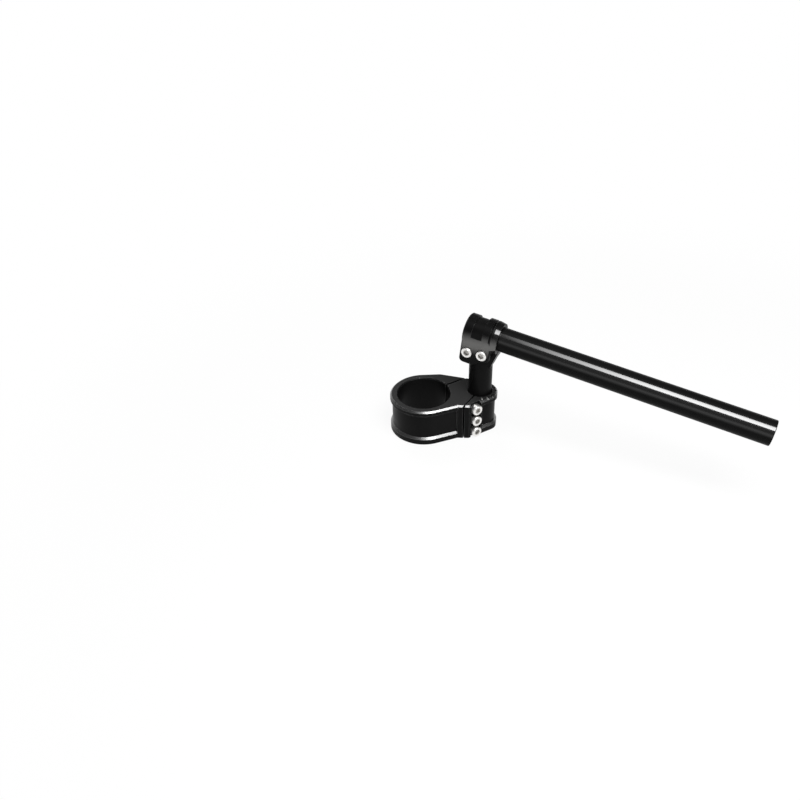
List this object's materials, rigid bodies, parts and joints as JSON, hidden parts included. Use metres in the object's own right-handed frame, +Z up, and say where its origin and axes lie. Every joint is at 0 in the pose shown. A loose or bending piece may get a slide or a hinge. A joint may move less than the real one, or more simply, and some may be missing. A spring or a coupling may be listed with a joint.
{
  "type": "clip-on handlebar",
  "caption": "Riser clip-on handlebar: a split clamp for a fork leg carries a round post whose pinch head holds a plain bar tube, all closed by socket-head screws.",
  "frame": {"origin": "on the fork leg's axis, half-way up the clamp", "axes": "+Z up along the fork leg, +X from the fork leg to the riser's post, the rider on -Y"},
  "size_m": [0.3077, 0.1781, 0.1215],
  "materials": {
    "clamp_anodised": "semi-gloss black anodised, milled",
    "riser_anodised": "semi-gloss black anodised, milled",
    "bar_anodised": "glossy black anodised, drawn tube",
    "screw_steel": "bright stainless, turned"
  },
  "bodies": {
    "clamp": {"fork_clamp": "clamp_anodised", "pinch_bolts": "screw_steel"},
    "riser": {"riser": "riser_anodised", "head_bolts": "screw_steel"},
    "bar": {"bar_tube": "bar_anodised"}
  },
  "joints": [
    {"name": "post_swivel", "type": "hinge", "parent": "clamp", "child": "riser", "pos_m": [0.05347, 0, 0], "axis": [0, 0, 1], "range_deg": [-30, 30]},
    {"name": "bar_slide", "type": "slide", "parent": "riser", "child": "bar", "axis": [0.8538, -0.507, -0.1184], "range_m": [-0.01, 0.01]}
  ]
}
